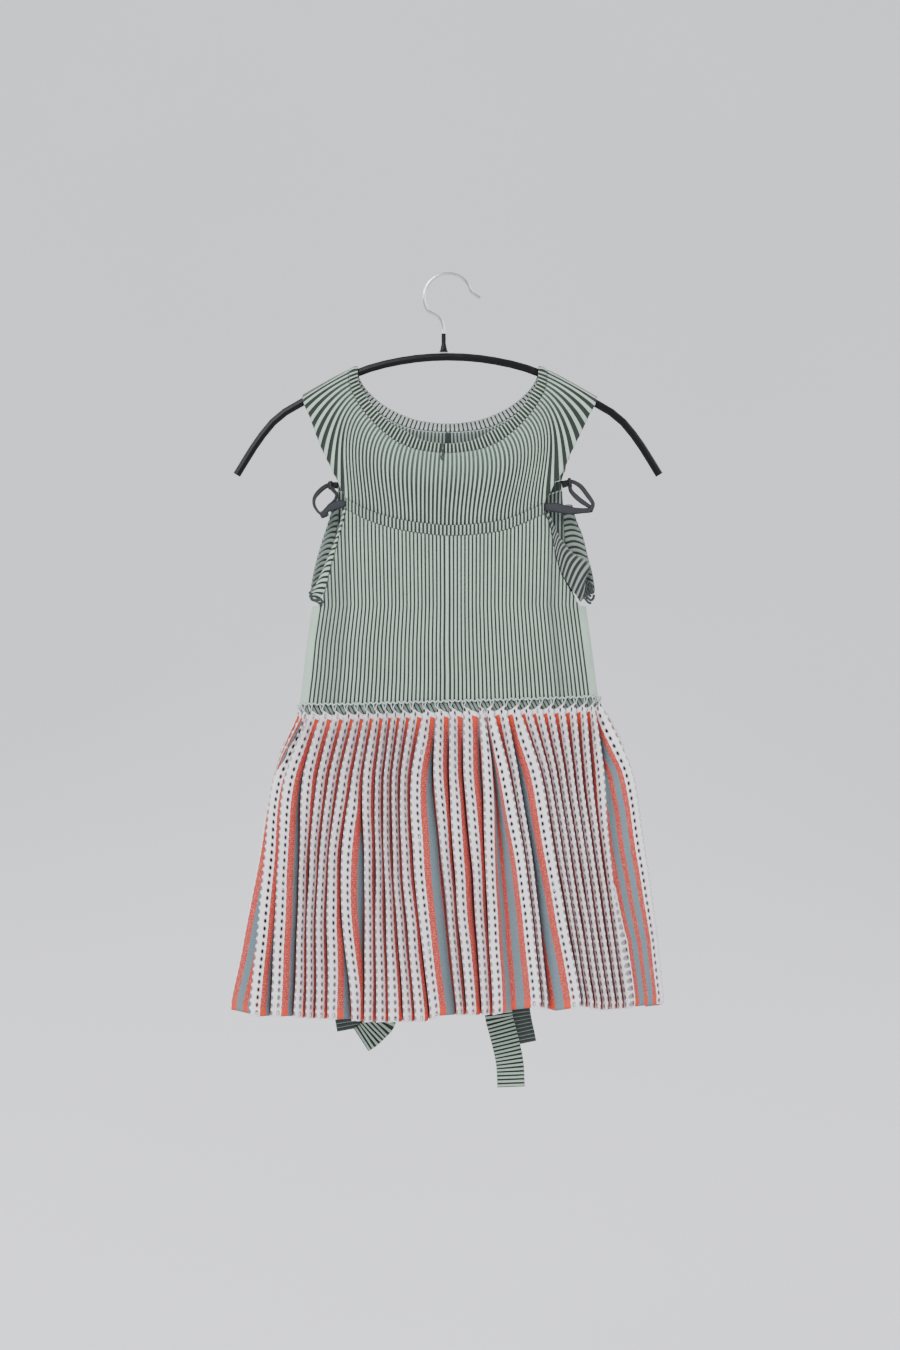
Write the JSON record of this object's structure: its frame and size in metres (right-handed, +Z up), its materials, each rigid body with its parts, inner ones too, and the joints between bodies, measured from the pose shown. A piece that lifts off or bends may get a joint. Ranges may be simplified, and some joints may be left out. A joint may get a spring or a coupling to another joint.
{
  "type": "sleeveless knit dress with pleated skirt on a hanger",
  "caption": "Sleeveless mint rib-knit dress with a striped pleated skirt, drawn ribbon straps and back ties, hanging on a black clothes hanger.",
  "frame": {"origin": "inner top of the hanger's hook, where the hook rests on what holds it", "axes": "+Z up, -Y out of the front of the dress, +X to the right of a viewer who faces the front"},
  "size_m": [0.4207, 0.0863, 0.7906],
  "materials": {
    "mint_knit": "matte mint rib knit with charcoal grooves",
    "charcoal_knit": "matte charcoal rib knit",
    "pleat_knit": "matte knit, striped coral, grey and openwork white",
    "grey_ribbon": "dark grey satin ribbon and sliders",
    "chrome": "bright plated wire",
    "black_coating": "black coated tube, slightly glossy"
  },
  "bodies": {
    "root": {"armhole_band_left": "mint_knit", "armhole_band_right": "mint_knit", "bodice_back": "mint_knit", "bodice_front": "mint_knit", "hanger_bow": "black_coating", "hanger_hook": "chrome", "hanger_sleeve": "black_coating", "neckband": "mint_knit", "skirt_back": "pleat_knit", "skirt_front": "pleat_knit", "slider_left_back": "grey_ribbon", "slider_left_front": "grey_ribbon", "slider_right_back": "grey_ribbon", "slider_right_front": "grey_ribbon", "strap_left_back": "grey_ribbon", "strap_left_front": "grey_ribbon", "strap_left_loop_inner": "grey_ribbon", "strap_left_loop_outer": "grey_ribbon", "strap_right_back": "grey_ribbon", "strap_right_front": "grey_ribbon", "strap_right_loop_inner": "grey_ribbon", "strap_right_loop_outer": "grey_ribbon", "tie_left_down": "mint_knit", "tie_left_up": "mint_knit", "tie_right": "mint_knit", "tie_right_end": "mint_knit", "waist_strip": "charcoal_knit", "yoke_back": "mint_knit", "yoke_band_back": "mint_knit", "yoke_band_front": "mint_knit", "yoke_front": "mint_knit"}
  },
  "joints": []
}
